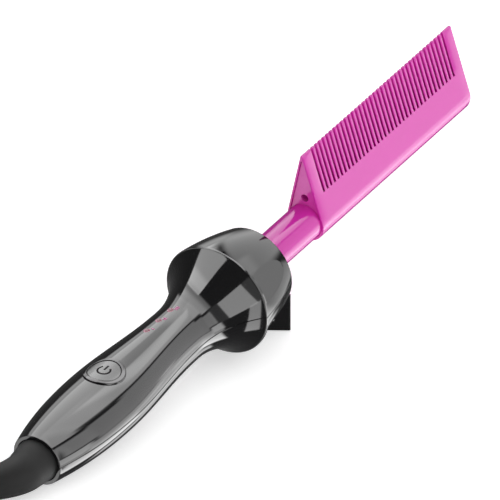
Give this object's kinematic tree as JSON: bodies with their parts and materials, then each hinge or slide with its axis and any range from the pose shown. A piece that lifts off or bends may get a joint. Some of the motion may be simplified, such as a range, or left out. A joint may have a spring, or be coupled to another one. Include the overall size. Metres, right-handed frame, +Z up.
{
  "type": "hot comb",
  "caption": "Electric hot comb: bell-guarded handle with power button, stem and slotted heated comb head, resting on its foot, with swivelling cord and plug.",
  "frame": {"origin": "middle of the foot's flat underside, on the surface the tool stands on", "axes": "+X along the tool towards the comb, level with the floor; +Y to the tool's left; +Z up. The tool axis rises 6.06 degrees towards +X, because the tool stands on its foot and on the edge of the handle's end."},
  "size_m": [0.5351, 0.0722, 0.0782],
  "materials": {
    "black_gloss": "polished",
    "button_black": "polished",
    "bezel_black": "polished",
    "collar_black": "matt moulded",
    "pink_enamel": "gloss enamel",
    "ceramic_element": "matt",
    "bare_aluminium": "extruded",
    "lead_sleeve": "silicone sleeve",
    "fuse_metal": "drawn can",
    "sensor_glass": "glazed",
    "board_green": "laminate",
    "screw_steel": "zinc plated",
    "chip_black": "moulded",
    "capacitor_blue": "sleeved",
    "led_white": "clear top",
    "lens_pink": "tinted, clear",
    "contact_brass": "plated",
    "spindle_grey": "moulded",
    "boot_rubber": "satin",
    "cord_sheath": "satin",
    "tie_strap": "soft",
    "plug_black": "moulded",
    "pin_nickel": "nickel plated"
  },
  "bodies": {
    "cord_side": {"swivel_spindle": "spindle_grey", "slip_ring_board": "board_green", "contact_rings": "contact_brass", "cord_conductors": "lead_sleeve", "cord_boot": "boot_rubber", "power_cord": "cord_sheath", "cord_hank": "cord_sheath", "cord_tie": "tie_strap", "plug_body": "plug_black", "plug_pins": "pin_nickel"},
    "handle": {"handle_top_shell": "black_gloss", "handle_bottom_shell": "black_gloss", "shell_screws": "screw_steel", "bell_front_collar": "collar_black", "stem_flange": "collar_black", "stem_tube": "pink_enamel", "comb_head": "pink_enamel", "comb_rear_plate": "pink_enamel", "comb_front_plate": "pink_enamel", "ptc_heater": "ceramic_element", "heater_clamp_upper": "bare_aluminium", "heater_clamp_lower": "bare_aluminium", "heater_leads": "lead_sleeve", "thermal_fuse": "fuse_metal", "temperature_sensor": "sensor_glass", "sensor_leads": "lead_sleeve", "control_board": "board_green", "board_screws": "screw_steel", "control_chip": "chip_black", "triac": "chip_black", "filter_capacitor": "capacitor_blue", "indicator_leds": "led_white", "indicator_lenses": "lens_pink", "tact_switch": "chip_black", "button_bezel": "bezel_black", "swivel_housing": "collar_black", "brush_block": "board_green", "contact_brushes": "contact_brass", "supply_leads": "lead_sleeve"},
    "button": {"power_button": "button_black", "switch_plunger": "collar_black"}
  },
  "joints": [
    {"name": "cord_swivel", "type": "hinge", "parent": "cord_side", "child": "handle", "pos_m": [-0.14811, 0, 0.01293], "axis": [0.9944, 0, 0.1056], "continuous": true},
    {"name": "power_button_press", "type": "slide", "parent": "handle", "child": "button", "axis": [0.1056, 0, -0.9944], "range_m": [0, 0.0006], "stiffness_N_per_m": 600, "springref_m": -0.0008}
  ]
}
